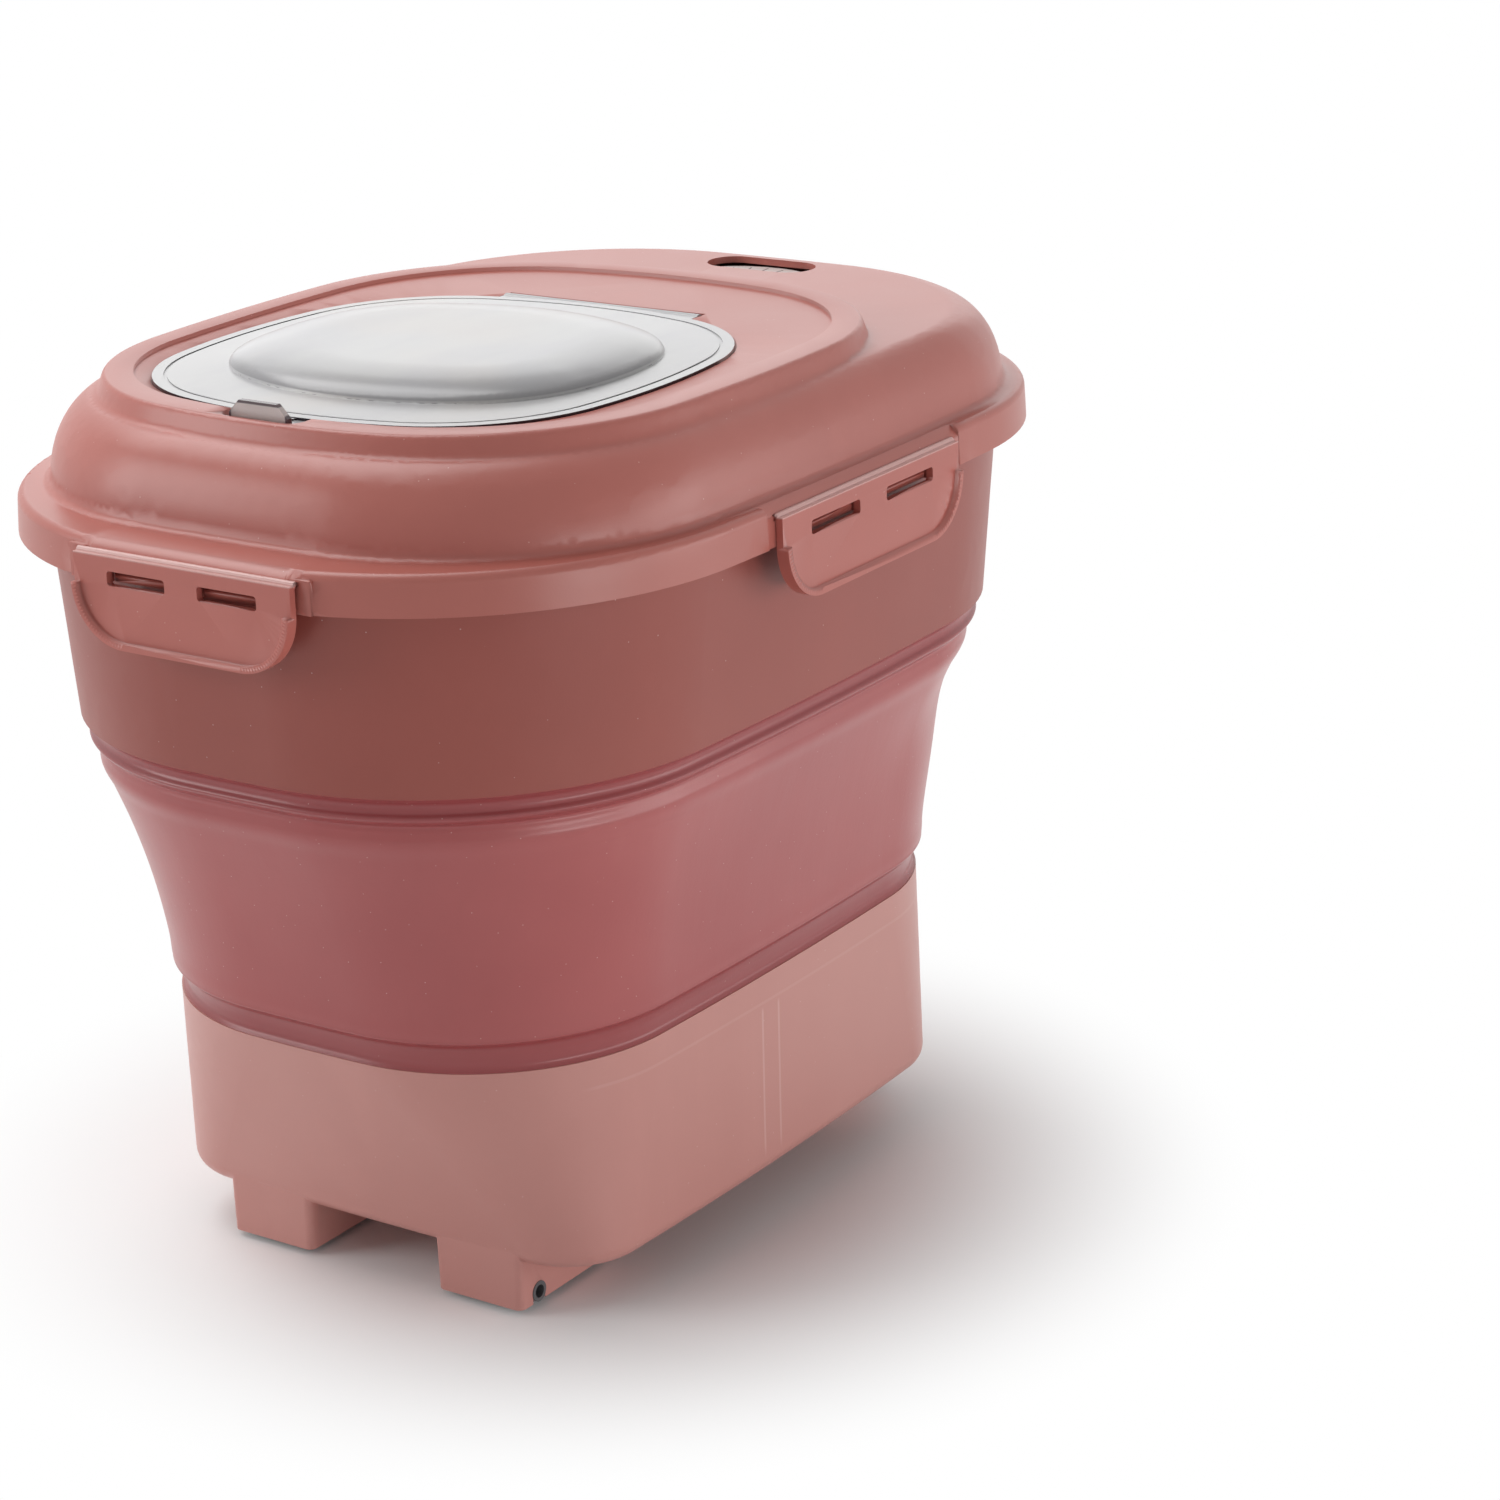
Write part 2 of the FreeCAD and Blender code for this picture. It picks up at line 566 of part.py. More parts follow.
def lid():
    """Flange, shoulder, dome and platform with the seat of the flap and the hole of the window."""
    shell = flange_block().multiFuse([dome_block(0), dome_flare(), platform_block()])
    band = prism(grow(FLANGE, -FLANGE_WALL), FLANGE_BOTTOM_Z - 1, SHOULDER_UNDERSIDE_Z)
    under_platform = prism(grow(PLATFORM, -1.5 * WALL), DECK_Z - 8, PANEL_Z - WALL, PLATFORM_Y)
    for cutter in (band, dome_block(-WALL), under_platform):
        shell = shell.cut(cutter)
    room = dome_block(-1).fuse(platform_block())
    half_pad = PIN_LENGTH / 2 + WALL
    adds = [prism(grow(FLAP, FLAP_GAP + WALL), TRAY_BOTTOM_Z, PANEL_Z, FLAP_Y)]
    adds.append(box((-half_pad, HINGE_Y - 10, HINGE_Z - BARREL_RADIUS - HINGE_GAP - WALL),
                    (half_pad, HINGE_Y + BARREL_RADIUS + HINGE_GAP + WALL, PANEL_Z)))
    adds.append(tab_pocket(WALL, POCKET_Z - WALL, PANEL_Z).common(room))
    adds.append(upright_rod(DIAL_BOSS_RADIUS, DIAL_Y, BOSS_BOTTOM_Z, DECK_Z).common(room))
    adds.append(upright_rod(DIAL_STEP_RADIUS, DIAL_Y, DIAL_TOP_Z + 0.1, DECK_Z).common(room))
    shell = shell.multiFuse(adds + clasp_pads())
    half_trough = HINGE_WIDTH / 2 + HINGE_END_GAP
    gap_radius = BARREL_RADIUS + HINGE_GAP
    top = PLATFORM_Z + 1
    cuts = [prism(grow(PLATFORM, -PANEL_MARGIN), PANEL_Z, top, PLATFORM_Y)]
    cuts.append(prism(grow(FLAP, FLAP_GAP), SEAT_Z, top, FLAP_Y))
    cuts.append(prism(grow(FLAP, -SEAT_WIDTH), TRAY_BOTTOM_Z - 1, SEAT_Z + 1, FLAP_Y))
    cuts.append(tab_pocket(0, POCKET_Z, top))
    cuts.append(box((-half_trough, HINGE_Y - 20, SEAT_Z), (half_trough, HINGE_Y, top)))
    cuts.append(box((-half_trough, HINGE_Y - 1, HINGE_Z), (half_trough, HINGE_Y + gap_radius, top)))
    cuts.append(rod(gap_radius, (-half_trough, HINGE_Y, HINGE_Z), (1, 0, 0), 2 * half_trough))
    cuts.append(rod(PIN_RADIUS, (-PIN_LENGTH / 2, HINGE_Y, HINGE_Z), (1, 0, 0), PIN_LENGTH))
    cuts.append(upright_rod(SCREW_RADIUS, DIAL_Y, BOSS_BOTTOM_Z, BOSS_BOTTOM_Z + SCREW_LENGTH))
    cuts.append(upright_rod(MAGNET_RADIUS, MAGNET_Y, POCKET_Z - MAGNET_THICKNESS, POCKET_Z + 1))
    cuts.append(window())
    for cutter in cuts + clasp_pockets() + lug_notches():
        shell = shell.cut(cutter)
    return shell


def window():
    """Upright block of the window above the date dial, with half-round ends."""
    reach = (WINDOW_LENGTH - WINDOW_WIDTH) / 2
    low_z = DIAL_TOP_Z + 0.5
    block = box((-reach, WINDOW_Y - WINDOW_WIDTH / 2, low_z), (reach, WINDOW_Y + WINDOW_WIDTH / 2, PLATFORM_Z))
    for side in (-1, 1):
        block = block.fuse(rod(WINDOW_WIDTH / 2, (side * reach, WINDOW_Y, low_z), (0, 0, 1), PLATFORM_Z - low_z))
    return block


def lid_gasket():
    outer = grow(RING_TOP, RIM_WIDTH - 0.2)
    ring = prism(outer, RING_TOP_Z, SHOULDER_UNDERSIDE_Z)
    return ring.cut(prism(grow(outer, -GASKET_WIDTH), RING_TOP_Z, SHOULDER_UNDERSIDE_Z))


def lid_magnet():
    return upright_rod(MAGNET_RADIUS, MAGNET_Y, POCKET_Z - MAGNET_THICKNESS, POCKET_Z)


# Flap with its seal, magnet and hinge pin

def bubble_block(offset):
    """Low lens of the flap, or its hollow when the offset is negative."""
    wires = []
    steps = 6
    for i in range(steps + 1):
        angle = math.radians(90 * i / steps)
        inset = BUBBLE_EDGE_RUN * (1 - math.cos(angle))
        z = FLAP_TOP_Z + (BUBBLE_HEIGHT + offset) * math.sin(angle)
        wires.append(outline(grow(BUBBLE, offset - inset), z, BUBBLE_Y))
    return prism(grow(BUBBLE, offset), FLAP_BOTTOM_Z, FLAP_TOP_Z, BUBBLE_Y).fuse(loft(wires))


def tab():
    """Pull tab with an upturned lip, chamfered lip corners and three small ribs."""
    half = TAB_WIDTH / 2
    top = FLAP_BOTTOM_Z + TAB_LIP_HEIGHT
    plate = box((-half, TAB_END_Y, FLAP_BOTTOM_Z), (half, FLAP_FRONT_Y + 5, FLAP_BOTTOM_Z + TAB_THICKNESS))
    rise = top - TAB_LIP_CHAMFER
    corners = [(-half, FLAP_BOTTOM_Z), (half, FLAP_BOTTOM_Z), (half, rise),
               (half - TAB_LIP_CHAMFER, top), (TAB_LIP_CHAMFER - half, top), (-half, rise)]
    lip = polygon_block([(x, TAB_END_Y, z) for x, z in corners], (0, TAB_LIP_THICKNESS, 0))
    ribs = []
    for i in range(3):
        y = TAB_END_Y + TAB_LIP_THICKNESS + 1.5 + TAB_RIB_PITCH * i
        low = FLAP_BOTTOM_Z + TAB_THICKNESS / 2
        ribs.append(box((4 - half, y, low), (half - 4, y + 1, FLAP_BOTTOM_Z + TAB_THICKNESS + TAB_RIB_HEIGHT)))
    return plate.multiFuse([lip] + ribs)


def flap():
    """Clear flap: plate with a fine groove near its edge, bubble, hinge barrel and pull tab."""
    half = HINGE_WIDTH / 2
    plate = prism(FLAP, FLAP_BOTTOM_Z, FLAP_TOP_Z, FLAP_Y)
    groove_size = grow(FLAP, -FLAP_GROOVE_INSET)
    groove_z = FLAP_TOP_Z - FLAP_GROOVE_DEPTH
    groove = prism(groove_size, groove_z, PLATFORM_Z, FLAP_Y)
    groove = groove.cut(prism(grow(groove_size, -FLAP_GROOVE_WIDTH), groove_z, PLATFORM_Z, FLAP_Y))
    plate = plate.cut(groove)
    hinge_web = box((-half, HINGE_Y - 19, FLAP_BOTTOM_Z), (half, HINGE_Y, PANEL_Z))
    barrel = rod(BARREL_RADIUS, (-half, HINGE_Y, HINGE_Z), (1, 0, 0), 2 * half)
    solid = plate.multiFuse([hinge_web, barrel, bubble_block(0), tab()])
    solid = solid.cut(bubble_block(-BUBBLE_WALL))
    return solid.cut(rod(PIN_RADIUS + RUNNING_FIT, (-half, HINGE_Y, HINGE_Z), (1, 0, 0), 2 * half))


def flap_seal():
    outer = grow(FLAP, -SEAL_INSET)
    ring = prism(outer, SEAT_Z, FLAP_BOTTOM_Z, FLAP_Y)
    return ring.cut(prism(grow(outer, -SEAL_WIDTH), SEAT_Z, FLAP_BOTTOM_Z, FLAP_Y))


def flap_magnet():
    return upright_rod(MAGNET_RADIUS, MAGNET_Y, FLAP_BOTTOM_Z - MAGNET_THICKNESS, FLAP_BOTTOM_Z)


def flap_hinge_pin():
    return rod(PIN_RADIUS, (-PIN_LENGTH / 2, HINGE_Y, HINGE_Z), (1, 0, 0), PIN_LENGTH)


# Date dial and its screw

def date_dial():
    """Disc that turns on the boss under the window, with grip ribs below its edge."""
    disc = upright_rod(DIAL_RADIUS, DIAL_Y, DIAL_BOTTOM_Z, DIAL_TOP_Z)
    ribs = []
    for i in range(DIAL_RIB_COUNT):
        rib = box((DIAL_RADIUS - DIAL_RIB_LENGTH, -DIAL_RIB_WIDTH / 2, DIAL_BOTTOM_Z - DIAL_RIB_HEIGHT),
                  (DIAL_RADIUS - 0.5, DIAL_RIB_WIDTH / 2, DIAL_BOTTOM_Z + 0.5))
        rib = turned(rib, 360.0 * i / DIAL_RIB_COUNT)
        rib.translate(Vector(0, DIAL_Y, 0))
        ribs.append(rib)
    disc = disc.multiFuse(ribs)
    return disc.cut(upright_rod(DIAL_BOSS_RADIUS + RUNNING_FIT, DIAL_Y, DIAL_BOTTOM_Z, DIAL_TOP_Z))


def dial_screw():
    head = upright_rod(SCREW_HEAD_RADIUS, DIAL_Y, BOSS_BOTTOM_Z - SCREW_HEAD_THICKNESS, BOSS_BOTTOM_Z)
    shank = upright_rod(SCREW_RADIUS, DIAL_Y, BOSS_BOTTOM_Z - 1, BOSS_BOTTOM_Z + SCREW_LENGTH)
    low = BOSS_BOTTOM_Z - SCREW_HEAD_THICKNESS
    for angle in (0, 90):
        blade = box((-SCREW_SLOT_LENGTH / 2, -0.6, low), (SCREW_SLOT_LENGTH / 2, 0.6, low + 0.9))
        blade = turned(blade, angle)
        blade.translate(Vector(0, DIAL_Y, 0))
        head = head.cut(blade)
    return head.fuse(shank)


def main():
    os.makedirs("parts", exist_ok=True)
    export("lower_tub", lower_tub())
    for name, side, end in foot_places():
        export("axle_" + name, axle(side, end))
        export("wheel_" + name, wheel(side, end))
    export("folding_sleeve", folding_sleeve())
    export("upper_ring", upper_ring())
    export("lid", lid())
    export("lid_gasket", lid_gasket())
    export("lid_magnet", lid_magnet())
    for name, width, angle, reach in clasp_places():
        export("clasp_" + name, clasp(width, angle, reach))
    export("flap", flap())
    export("flap_seal", flap_seal())
    export("flap_magnet", flap_magnet())
    export("flap_hinge_pin", flap_hinge_pin())
    export("date_dial", date_dial())
    export("dial_screw", dial_screw())


main()
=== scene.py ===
"""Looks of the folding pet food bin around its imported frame. Metres, +Z up, the front faces -Y."""

import json
import math

import bmesh
import bpy
import numpy as np
from mathutils import Matrix, Vector

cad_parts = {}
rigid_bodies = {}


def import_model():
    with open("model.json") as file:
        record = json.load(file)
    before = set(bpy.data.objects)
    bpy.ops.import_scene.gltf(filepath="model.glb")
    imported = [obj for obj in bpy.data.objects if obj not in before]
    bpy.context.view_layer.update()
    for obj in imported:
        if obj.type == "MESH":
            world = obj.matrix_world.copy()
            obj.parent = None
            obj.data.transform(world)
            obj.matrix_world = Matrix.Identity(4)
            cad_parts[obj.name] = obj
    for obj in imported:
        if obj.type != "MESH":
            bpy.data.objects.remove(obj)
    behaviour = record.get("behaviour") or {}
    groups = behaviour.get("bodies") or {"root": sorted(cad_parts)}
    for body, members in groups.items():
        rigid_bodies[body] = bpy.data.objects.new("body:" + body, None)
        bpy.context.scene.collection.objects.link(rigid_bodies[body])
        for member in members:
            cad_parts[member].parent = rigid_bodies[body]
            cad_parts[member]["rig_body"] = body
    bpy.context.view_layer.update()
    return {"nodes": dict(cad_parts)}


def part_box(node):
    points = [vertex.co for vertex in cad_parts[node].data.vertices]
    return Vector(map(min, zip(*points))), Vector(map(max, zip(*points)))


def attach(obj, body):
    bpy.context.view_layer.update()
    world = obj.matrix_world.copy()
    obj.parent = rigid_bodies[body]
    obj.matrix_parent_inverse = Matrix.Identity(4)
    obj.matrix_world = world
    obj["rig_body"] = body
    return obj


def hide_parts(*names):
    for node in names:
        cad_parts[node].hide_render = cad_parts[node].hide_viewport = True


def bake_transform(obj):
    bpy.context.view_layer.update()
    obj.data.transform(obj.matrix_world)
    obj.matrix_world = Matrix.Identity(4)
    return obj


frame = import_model()

MM = 0.001
WHITE = (1.0, 1.0, 1.0, 1.0)

# Outlines of the sleeve's ends in millimetres: half width, half length, corner radius,
# and the radii of the bowed short and long sides
BODY_BOWS = (900.0, 2200.0)
TUB_TOP = (99.5, 149.5, 76.0) + BODY_BOWS
RING_BOTTOM = (123.5, 182.0, 104.0) + BODY_BOWS

# The sleeve in millimetres
SLEEVE_BOTTOM = 98.0
SLEEVE_HEIGHT = 109.0
SLEEVE_WALL = 2.2
SLEEVE_POINTS = 420
# How far the wall stands in at each height above the tub
SLEEVE_BANDS = [
    (0.0, 0.6), (1.2, 1.8), (4.0, 2.6), (7.0, 2.9), (9.6, 2.5), (10.8, 1.7), (11.7, 0.8),
    (13.2, 0.9), (20.0, 2.1), (32.0, 3.4), (52.0, 4.3), (72.0, 3.5), (84.0, 2.2), (92.0, 1.2),
    (95.0, 2.5), (97.6, 3.3), (99.4, 1.4), (101.2, 0.5), (103.0, 2.4), (106.2, 3.0),
    (109.0, 0.6)]
# The dent behind the right corner: its middle height, reach up and down, depth, and place round
DENT_RISE, DENT_REACH, DENT_DEPTH = 72.0, 19.0, 3.6
DENT_ANGLE, DENT_SPREAD = math.radians(46.0), 0.2

# Printed numbers of the dial: how many, radius and height in millimetres
DIAL_CIRCLES = ((31, 25.2, 3.4), (12, 16.6, 3.8))
NUMBER_LIFT = 0.00006
TICK_RADIUS = 0.0325
TICK_SIZE = (0.005, 0.0004, 0.0001)
TICK_LIFT = 0.00005

# Camera of the photograph, in degrees, metres and the pixels of a square image
CAMERA_AZIMUTH, CAMERA_RISE, CAMERA_ROLL = 36.5, 17.5, -2.5
CAMERA_TARGET = (0.0, 0.0055, 0.1925)
CAMERA_DISTANCE = 1.459
CAMERA_LENS = 95.28
IMAGE_SIZE = 1500.0
IMAGE_TARGET = (557.5, 668.7)

WORLD_STRENGTH = 0.25
FLOOR_RADIUS = 3.0
# The floor turns from matt to plain white between these distances from the bin's middle
FLOOR_FADE = (0.1, 0.26)
# Lamps: name, place, target, size and power
LAMPS = [
    ("left", (-1.4, -1.3, 0.8), (0, -0.1, 0.2), (0.9, 1.0), 12.5),
    ("right", (1.4, 0.65, 0.2), (0, 0.05, 0.12), (1.1, 0.7), 7.2),
    ("overhead", (-0.8, 0.0, 1.7), (0, 0, 0.3), (1.3, 1.3), 19.5),
    ("back", (-1.0, 1.6, 0.95), (0, 0.0, 0.3), (1.8, 1.1), 4.5),
    ("low_right", (1.5, -0.35, 0.12), (0.05, -0.05, 0.08), (0.8, 0.22), 4.2)]


# Nodes and shader maths

def make_node(tree, kind, settings=None, values=None):
    """Node with its settings made, and its inputs linked to sockets or set to values."""
    made = tree.nodes.new(kind)
    for name, value in (settings or {}).items():
        setattr(made, name, value)
    for name, value in (values or {}).items():
        if isinstance(value, bpy.types.NodeSocket):
            tree.links.new(value, made.inputs[name])
        else:
            made.inputs[name].default_value = value
    return made


class Signal:
    """A shader socket that takes part in arithmetic."""

    def __init__(self, shading, socket):
        self.shading = shading
        self.socket = socket

    def maths(self, operation, other=0.0, swap=False):
        first, second = (other, self) if swap else (self, other)
        return self.shading.node("ShaderNodeMath", {"operation": operation},
                                 {0: first, 1: second})

    def __add__(self, other):
        return self.maths("ADD", other)

    def __sub__(self, other):
        return self.maths("SUBTRACT", other)

    def __rsub__(self, other):
        return self.maths("SUBTRACT", other, True)

    def __mul__(self, other):
        return self.maths("MULTIPLY", other)

    __radd__ = __add__
    __rmul__ = __mul__

    def size(self):
        return self.maths("ABSOLUTE")

    def near(self, place, width):
        """1 at a value and 0 beyond a width on both sides of it."""
        return 1.0 - (self - place).size().ramp(0.4 * width, width)

    def ramp(self, low, high):
        """0 below low and 1 above high, smooth in between."""
        return self.shading.node("ShaderNodeMapRange", {"interpolation_type": "SMOOTHSTEP"},
                                 {"Value": self, "From Min": low, "From Max": high})


class Shading:
    """A shader node tree that holds nothing yet but its output."""

    def __init__(self, tree, output_kind):
        self.tree = tree
        tree.nodes.clear()
        self.output = tree.nodes.new(output_kind)

    def node(self, kind, settings=None, values=None, output=0):
        plain = {name: value.socket if isinstance(value, Signal) else value
                 for name, value in (values or {}).items()}
        return Signal(self, make_node(self.tree, kind, settings, plain).outputs[output])

    def blend_of(self, factor, first, second):
        """Shows the first shader where the factor is 0 and the second where it is 1."""
        self.show(self.node("ShaderNodeMixShader", None, {0: factor, 1: first, 2: second}))

    def show(self, shader):
        self.tree.links.new(shader.socket, self.output.inputs["Surface"])

    def background_rays(self):
        """1 for rays that show the background: straight, mirrored or through glass."""
        seen = self.node("ShaderNodeLightPath", output="Is Camera Ray")
        for way in ("Is Glossy Ray", "Is Transmission Ray"):
            seen = seen.maths("MAXIMUM", self.node("ShaderNodeLightPath", output=way))
        return seen


class Finish(Shading):
    """A material and the patterns it is made of."""

    def __init__(self, name):
        self.material = bpy.data.materials.new(name)
        self.material.use_nodes = True
        super().__init__(self.material.node_tree, "ShaderNodeOutputMaterial")

    def place(self, scale=(1.0, 1.0, 1.0)):
        """Object coordinates, stretched where a pattern runs along one way."""
        spot = self.node("ShaderNodeTexCoord", output="Object")
        return self.node("ShaderNodeMapping", None, {"Vector": spot, "Scale": scale})

    def part_of(self, vector, index):
        return self.node("ShaderNodeSeparateXYZ", None, {"Vector": vector}, index)

    def axis(self, index):
        return self.part_of(self.node("ShaderNodeTexCoord", output="Object"), index)

    def noise(self, scale, detail=2.0, stretch=(1.0, 1.0, 1.0)):
        values = {"Vector": self.place(stretch), "Scale": scale, "Detail": detail}
        return self.node("ShaderNodeTexNoise", {"noise_dimensions": "3D"}, values)

    def specks(self, scale, size):
        """Sparse dots of a size share, 1 inside them."""
        near = self.node("ShaderNodeTexVoronoi", None, {"Vector": self.place(), "Scale": scale})
        return 1.0 - near.ramp(size * 0.6, size)

    def mix(self, factor, first, second):
        return self.node("ShaderNodeMix", {"data_type": "RGBA"},
                         {0: factor, 6: first, 7: second}, 2)

    def bump(self, height, distance, strength=1.0, under=None):
        values = {"Height": height, "Distance": distance, "Strength": strength}
        if under:
            values["Normal"] = under
        return self.node("ShaderNodeBump", None, values)

    def principled(self, **values):
        return self.node("ShaderNodeBsdfPrincipled", None,
                         {name.replace("_", " "): value for name, value in values.items()})

    def surface(self, **values):
        self.show(self.principled(**values))
        return self.material


def colour(red, green, blue):
    """Scene colour of a display colour given in 0 to 255."""
    parts = [value / 255.0 for value in (red, green, blue)]
    return tuple(p / 12.92 if p <= 0.04045 else ((p + 0.055) / 1.055) ** 2.4
                 for p in parts) + (1.0,)


# Finishes

def moulded_plastic(name, main, shade, roughness, marks=None):
    """Satin plastic with faint flow marks, dust and a fine grain. Marks are lines with a small bump,
    painted paler as a painted highlight.
    """
    finish = Finish(name)
    broad = finish.noise(9.0, 3.0)
    flow = finish.noise(26.0, 4.0, (1.0, 1.0, 0.09))
    tone = finish.mix(broad.ramp(0.3, 0.7), main, shade)
    lighter = tuple(min(1.0, channel * 1.14) for channel in main[:3]) + (1.0,)
    tone = finish.mix(flow.ramp(0.55, 0.85) * 0.3, tone, lighter)
    dust = finish.specks(170.0, 0.05)
    tone = finish.mix(dust * 0.35, tone, colour(232, 208, 203))
    fine = finish.noise(1500.0, 2.0)
    grain = finish.bump(fine, 0.00004, 0.6)
    if marks:
        lines = marks(finish)
        # Painted highlight: the mark lines are painted paler, as if they catch the light.
        tone = finish.mix(lines * 0.75, tone, colour(222, 182, 177))
        grain = finish.bump(lines, 0.0003, 0.3, grain)
    rough = roughness - 0.03 + flow * 0.04 + fine * 0.03
    return finish.surface(Base_Color=tone, Roughness=rough, Normal=grain, IOR=1.49)


def hinge_line(finish):
    """Mask of the bend along the top of a clasp, painted paler as a painted highlight."""
    bend_z, width = 0.2836, 0.0013
    return finish.axis(2).near(bend_z, width)


def panel_lines(finish):
    """Faint level and upright mould lines on the long sides of the tub, painted paler as a painted
    highlight.
    """
    line_width = 0.0008
    height, along = finish.axis(2), finish.axis(1)
    side = finish.axis(0).size().ramp(0.088, 0.092)
    pair = along.near(-0.0146, line_width) + along.near(-0.0042, line_width)
    upright = pair * (1.0 - height.ramp(0.084, 0.0865)) * height.ramp(0.026, 0.034)
    level = height.near(0.0876, line_width) * 0.35
    return (upright + level) * side * 0.5


def soft_sleeve_rubber():
    """Satin red elastomer with faint upright pull marks, and painted shade that makes it deeper red
    in the band at each end.
    """
    finish = Finish("soft_sleeve_rubber")
    broad = finish.noise(7.0, 3.0)
    pulls = finish.noise(40.0, 3.0, (1.0, 1.0, 0.12))
    tone = finish.mix(broad.ramp(0.3, 0.72), colour(176, 93, 92), colour(166, 82, 82))
    tone = finish.mix(pulls.ramp(0.6, 0.9) * 0.25, tone, colour(192, 116, 114))
    height = finish.axis(2)
    # Painted shade: the band at each end is painted deeper red where the waist and the top groove
    # lie in shade.
    band_shade = (1.0 - height.ramp(0.1085, 0.1115)) + height.ramp(0.1935, 0.1965)
    tone = finish.mix(band_shade * 0.8, tone, colour(150, 68, 70))
    dust = finish.specks(240.0, 0.055)
    tone = finish.mix(dust * 0.6, tone, colour(226, 200, 198))
    fine = finish.noise(900.0, 3.0)
    grain = finish.bump(fine, 0.00006, 0.5)
    waves = finish.bump(pulls, 0.0012, 0.25, grain)
    return finish.surface(Base_Color=tone, Roughness=0.27 + fine * 0.06, Normal=waves, IOR=1.47)


def clear_flap_plastic():
    """Clear moulding painted whitish as a painted reflection of the white studio, with painted shade
    greying the bubble's front and darkening the plate's edges and the tab's rim.
    """
    finish = Finish("clear_flap_plastic")
    across, along, height = (finish.axis(i) for i in range(3))
    facing = finish.node("ShaderNodeTexCoord", output="Normal")
    tab = 1.0 - along.ramp(-0.1512, -0.1506)
    before_hinge = 1.0 - along.ramp(-0.02, -0.01)
    slope = finish.node("ShaderNodeVectorMath", {"operation": "DOT_PRODUCT"},
                        {0: facing, 1: (0.5, -0.86, 0.0)}, 1)
    # Painted shade: the bubble's slopes that face the front are painted grey.
    bubble_front_shade = (height.ramp(0.3231, 0.3236) * before_hinge * (1.0 - tab)
                    * slope.ramp(0.0, 0.4))
    upright = 1.0 - finish.part_of(facing, 2).size().ramp(0.4, 0.7)
    # Painted shade: the plate's upright edges are painted near black for the shadowed gap round the
    # flap.
    plate_edge_shade = upright * before_hinge * (1.0 - height.ramp(0.32265, 0.32278)) * (1.0 - tab)
    # Painted shade: a dark line is painted round the tab's rim.
    tab_rim_shade = (across.size().near(0.0122, 0.0011) + height.near(0.328, 0.0009)).maths("MINIMUM", 1.0)
    smear = finish.noise(35.0, 4.0, (1.0, 0.4, 1.0))
    hue = finish.noise(14.0, 1.0)
    # Painted reflection: the near-white base tones stand in for the white studio seen in the clear
    # plastic.
    tone = finish.mix(smear.ramp(0.35, 0.75), colour(190, 189, 189), colour(182, 181, 184))
    tone = finish.mix(hue.ramp(0.45, 0.7) * 0.5, tone, colour(194, 186, 180))
    tone = finish.mix(bubble_front_shade * 0.8, tone, colour(144, 143, 145))
    tone = finish.mix(tab * (1.0 - tab_rim_shade), tone, colour(250, 234, 230))
    tone = finish.mix(plate_edge_shade, tone, colour(46, 40, 48))
    tone = finish.mix(tab * tab_rim_shade, tone, colour(92, 76, 80))
    plain = {"Base_Color": tone, "Roughness": 0.2 + smear * 0.06, "IOR": 1.49,
             "Normal": finish.bump(smear, 0.0004, 0.15)}
    clear = finish.principled(Transmission_Weight=0.85, **plain)
    painted_white_reflection = finish.principled(Transmission_Weight=0.1, **plain)
    finish.blend_of(tab * (1.0 - tab_rim_shade) * 0.6, painted_white_reflection, clear)
    return finish.material


def seal_silicone():
    finish = Finish("seal_silicone")
    cloud = finish.noise(60.0, 3.0)
    tone = finish.mix(cloud.ramp(0.3, 0.7), colour(232, 224, 221), colour(218, 206, 203))
    fine = finish.noise(2200.0, 2.0)
    return finish.surface(Base_Color=tone, Roughness=0.5 + fine * 0.1,
                          Normal=finish.bump(fine, 0.00003, 0.5))


def plated_steel():
    finish = Finish("plated_steel")
    drawn = finish.noise(420.0, 3.0, (0.05, 1.0, 1.0))
    tone = finish.mix(drawn.ramp(0.3, 0.7), colour(214, 214, 217), colour(188, 188, 193))
    return finish.surface(Base_Color=tone, Roughness=0.2 + drawn * 0.14, Metallic=1.0,
                          Normal=finish.bump(drawn, 0.00003, 0.4))


def scuffed_plastic(name, main, worn):
    finish = Finish(name)
    scuff = finish.noise(330.0, 4.0, (0.25, 1.0, 1.0))
    tone = finish.mix(scuff.ramp(0.5, 0.8), main, worn)
    return finish.surface(Base_Color=tone, Roughness=0.42 + scuff * 0.2,
                          Normal=finish.bump(scuff, 0.00008, 0.5))


def dial_white():
    finish = Finish("dial_white")
    cloud = finish.noise(40.0, 3.0)
    tone = finish.mix(cloud.ramp(0.3, 0.7), colour(226, 216, 212), colour(214, 201, 197))
    fine = finish.noise(1600.0, 2.0)
    return finish.surface(Base_Color=tone, Roughness=0.42 + fine * 0.08,
                          Normal=finish.bump(fine, 0.00003, 0.5))


def dial_ink():
    finish = Finish("dial_ink")
    worn = finish.noise(700.0, 3.0)
    tone = finish.mix(worn.ramp(0.45, 0.8), colour(128, 112, 112), colour(158, 140, 139))
    return finish.surface(Base_Color=tone, Roughness=0.5 + worn * 0.1)


